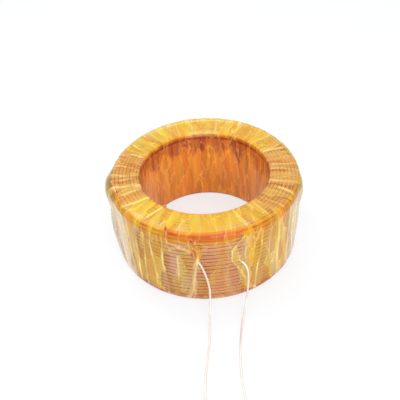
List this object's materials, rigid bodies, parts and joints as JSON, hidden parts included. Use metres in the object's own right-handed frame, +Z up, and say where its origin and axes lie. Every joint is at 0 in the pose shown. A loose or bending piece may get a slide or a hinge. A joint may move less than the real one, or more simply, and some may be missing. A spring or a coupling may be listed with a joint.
{
  "type": "air core coil",
  "caption": "Ring-shaped air core inductor of enamelled copper wire, bound all round with clear amber film, with two bare-ended wire leads brought out at the front.",
  "frame": {"origin": "middle of the ring on the surface that it stands on", "axes": "+Z up the ring's axis, -Y towards the front, where the leads come out"},
  "size_m": [0.06, 0.1296, 0.0274],
  "materials": {
    "enamelled_copper": "round copper wire under clear enamel, glossy",
    "binding_film": "thin clear polyester film in amber yellow, glossy and creased",
    "lead_wire": "bright enamelled copper wire"
  },
  "bodies": {
    "root": {"winding": "enamelled_copper", "film_wrap": "binding_film", "start_lead": "lead_wire", "finish_lead": "lead_wire"}
  },
  "joints": []
}
